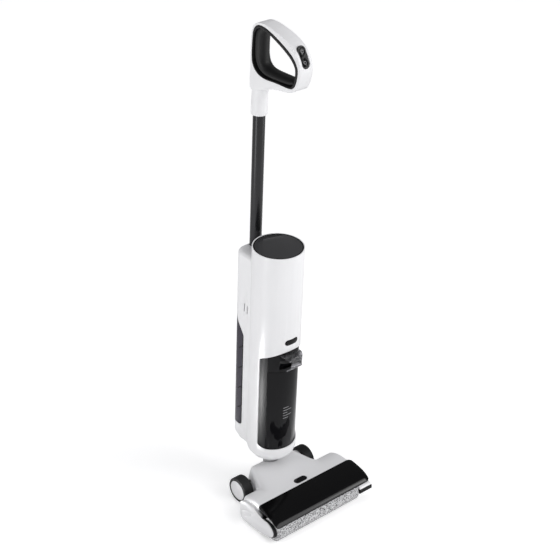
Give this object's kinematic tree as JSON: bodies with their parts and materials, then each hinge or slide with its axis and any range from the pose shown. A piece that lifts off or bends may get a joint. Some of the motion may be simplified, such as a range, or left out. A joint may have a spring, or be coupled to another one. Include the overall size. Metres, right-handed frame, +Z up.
{
  "type": "wet dry floor scrubber",
  "caption": "Cordless upright floor washer: loop handle, round tube, cylinder body with two water tanks, and a wheeled head with a covered soft roller.",
  "frame": {"origin": "on the floor under the middle of the parked machine's outline", "axes": "+Z up, -Y to the front (the roller), +X to the user's right when standing behind the machine"},
  "size_m": [0.2772, 0.2812, 1.112],
  "materials": {
    "white_shell": "satin white",
    "grey_plastic": "satin",
    "dark_plastic": "fine texture",
    "black_gloss": "gloss",
    "soft_grip": "soft touch",
    "rubber": "matte",
    "smoked_tank": "clear smoked",
    "clear_plastic": "clear",
    "black_tube": "anodised black",
    "steel": "machined",
    "roller_fibre": "brushed microfibre",
    "filter_paper": "pleated",
    "board_green": "printed board",
    "cell_wrap": "shrink wrap"
  },
  "bodies": {
    "head": {"head_top": "white_shell", "head_base": "dark_plastic", "squeegee": "rubber", "spray_bar": "grey_plastic", "roller_motor": "steel", "drive_belt": "rubber", "drive_arm": "white_shell", "side_cover": "white_shell", "bumper": "rubber", "wheel_axles": "steel", "pivot_brackets": "dark_plastic"},
    "motor_pulley": {"motor_pulley": "dark_plastic"},
    "roller_drive": {"roller_pulley": "dark_plastic"},
    "roller_cap": {"side_cap": "white_shell", "cap_rim": "black_gloss"},
    "roller": {"roller_core": "grey_plastic", "roller_sleeve": "roller_fibre", "roller_bushes": "dark_plastic"},
    "roller_cover": {"roller_cover": "black_gloss"},
    "cover_release": {"cover_release": "black_gloss"},
    "wheel_left": {"tyre_left": "rubber", "hub_left": "grey_plastic"},
    "wheel_right": {"tyre_right": "rubber", "hub_right": "grey_plastic"},
    "neck": {"neck_yoke": "grey_plastic", "neck_hose": "rubber"},
    "body": {"lower_cup": "white_shell", "swivel_ring": "dark_plastic", "main_shell": "white_shell", "bay_liner": "dark_plastic", "motor_housing": "dark_plastic", "battery_pack": "cell_wrap", "display_bezel": "black_gloss", "display_lens": "black_gloss", "rear_shell": "white_shell", "water_pump": "dark_plastic", "tube_socket": "dark_plastic", "handle_tube": "black_tube", "snap_pin": "steel", "handle_shell_right": "white_shell", "handle_shell_left": "white_shell", "handle_grip": "soft_grip", "button_panel": "black_gloss", "circuit_boards": "board_green", "return_springs": "steel"},
    "dirty_tank": {"dirty_tank": "smoked_tank", "inlet_pipe": "grey_plastic", "tank_lid": "dark_plastic", "tank_seal": "rubber", "tank_handle": "clear_plastic", "air_filter": "filter_paper"},
    "float": {"float_ball": "grey_plastic"},
    "tank_release": {"tank_release": "black_gloss"},
    "suction_fan": {"suction_fan": "dark_plastic"},
    "clean_tank": {"clean_tank": "smoked_tank", "tank_baffles": "dark_plastic"},
    "filler_flap": {"filler_flap": "black_gloss"},
    "tank_latch": {"tank_latch": "black_gloss"},
    "power_button": {"power_button": "black_gloss"},
    "mode_button": {"mode_button": "black_gloss"}
  },
  "joints": [
    {"name": "body_recline", "type": "hinge", "parent": "head", "child": "neck", "pos_m": [0, 0.05436, 0.046], "axis": [-1, 0, 0], "range_deg": [0, 64]},
    {"name": "neck_swivel", "type": "hinge", "parent": "neck", "child": "body", "pos_m": [0, 0.05206, 0.08994], "axis": [0, -0.0523, 0.9986], "range_deg": [-40, 40]},
    {"name": "wheel_left_spin", "type": "hinge", "parent": "head", "child": "wheel_left", "pos_m": [-0.091, 0.04637, 0.03], "axis": [1, 0, 0], "continuous": true},
    {"name": "wheel_right_spin", "type": "hinge", "parent": "head", "child": "wheel_right", "pos_m": [0.091, 0.04637, 0.03], "axis": [1, 0, 0], "continuous": true},
    {"name": "roller_cap_slide", "type": "slide", "parent": "head", "child": "roller_cap", "axis": [-1, 0, 0], "range_m": [0, 0.27]},
    {"name": "roller_spin", "type": "hinge", "parent": "roller_cap", "child": "roller", "pos_m": [-0.013, -0.10863, 0.0285], "axis": [1, 0, 0], "continuous": true},
    {"name": "roller_drive_spin", "type": "hinge", "parent": "head", "child": "roller_drive", "pos_m": [0.115, -0.10863, 0.0285], "axis": [1, 0, 0], "continuous": true},
    {"name": "motor_pulley_spin", "type": "hinge", "parent": "head", "child": "motor_pulley", "pos_m": [0.115, -0.03764, 0.04], "axis": [1, 0, 0], "continuous": true},
    {"name": "roller_cover_lift", "type": "slide", "parent": "head", "child": "roller_cover", "axis": [0, 0, 1], "range_m": [0, 0.06]},
    {"name": "cover_release_press", "type": "slide", "parent": "head", "child": "cover_release", "axis": [0, 0, -1], "range_m": [0, 0.0015], "stiffness_N_per_m": 600},
    {"name": "dirty_tank_slide", "type": "slide", "parent": "body", "child": "dirty_tank", "axis": [0, -0.9986, -0.0523], "range_m": [0, 0.15]},
    {"name": "float_rise", "type": "slide", "parent": "dirty_tank", "child": "float", "axis": [0, -0.0523, 0.9986], "range_m": [0, 0.012]},
    {"name": "tank_release_press", "type": "slide", "parent": "body", "child": "tank_release", "axis": [0, 0.9986, 0.0523], "range_m": [0, 0.002], "stiffness_N_per_m": 600},
    {"name": "fan_spin", "type": "hinge", "parent": "body", "child": "suction_fan", "pos_m": [0, 0.03165, 0.47941], "axis": [0, -0.0523, 0.9986], "continuous": true},
    {"name": "clean_tank_slide", "type": "slide", "parent": "body", "child": "clean_tank", "axis": [0, 0.9986, 0.0523], "range_m": [0, 0.08]},
    {"name": "filler_flap_open", "type": "hinge", "parent": "clean_tank", "child": "filler_flap", "pos_m": [0, 0.129, 0.39879], "axis": [-1, 0, 0], "range_deg": [0, 100]},
    {"name": "tank_latch_press", "type": "slide", "parent": "body", "child": "tank_latch", "axis": [0, -0.9986, -0.0523], "range_m": [0, 0.002], "stiffness_N_per_m": 600},
    {"name": "power_button_press", "type": "slide", "parent": "body", "child": "power_button", "axis": [0, 0.9126, -0.4088], "range_m": [0, 0.001], "stiffness_N_per_m": 600},
    {"name": "mode_button_press", "type": "slide", "parent": "body", "child": "mode_button", "axis": [0, 0.9126, -0.4088], "range_m": [0, 0.001], "stiffness_N_per_m": 600}
  ],
  "couplings": [
    {"joint": "roller_drive_spin", "follows": "roller_spin", "ratio": 1},
    {"joint": "motor_pulley_spin", "follows": "roller_spin", "ratio": 1}
  ]
}
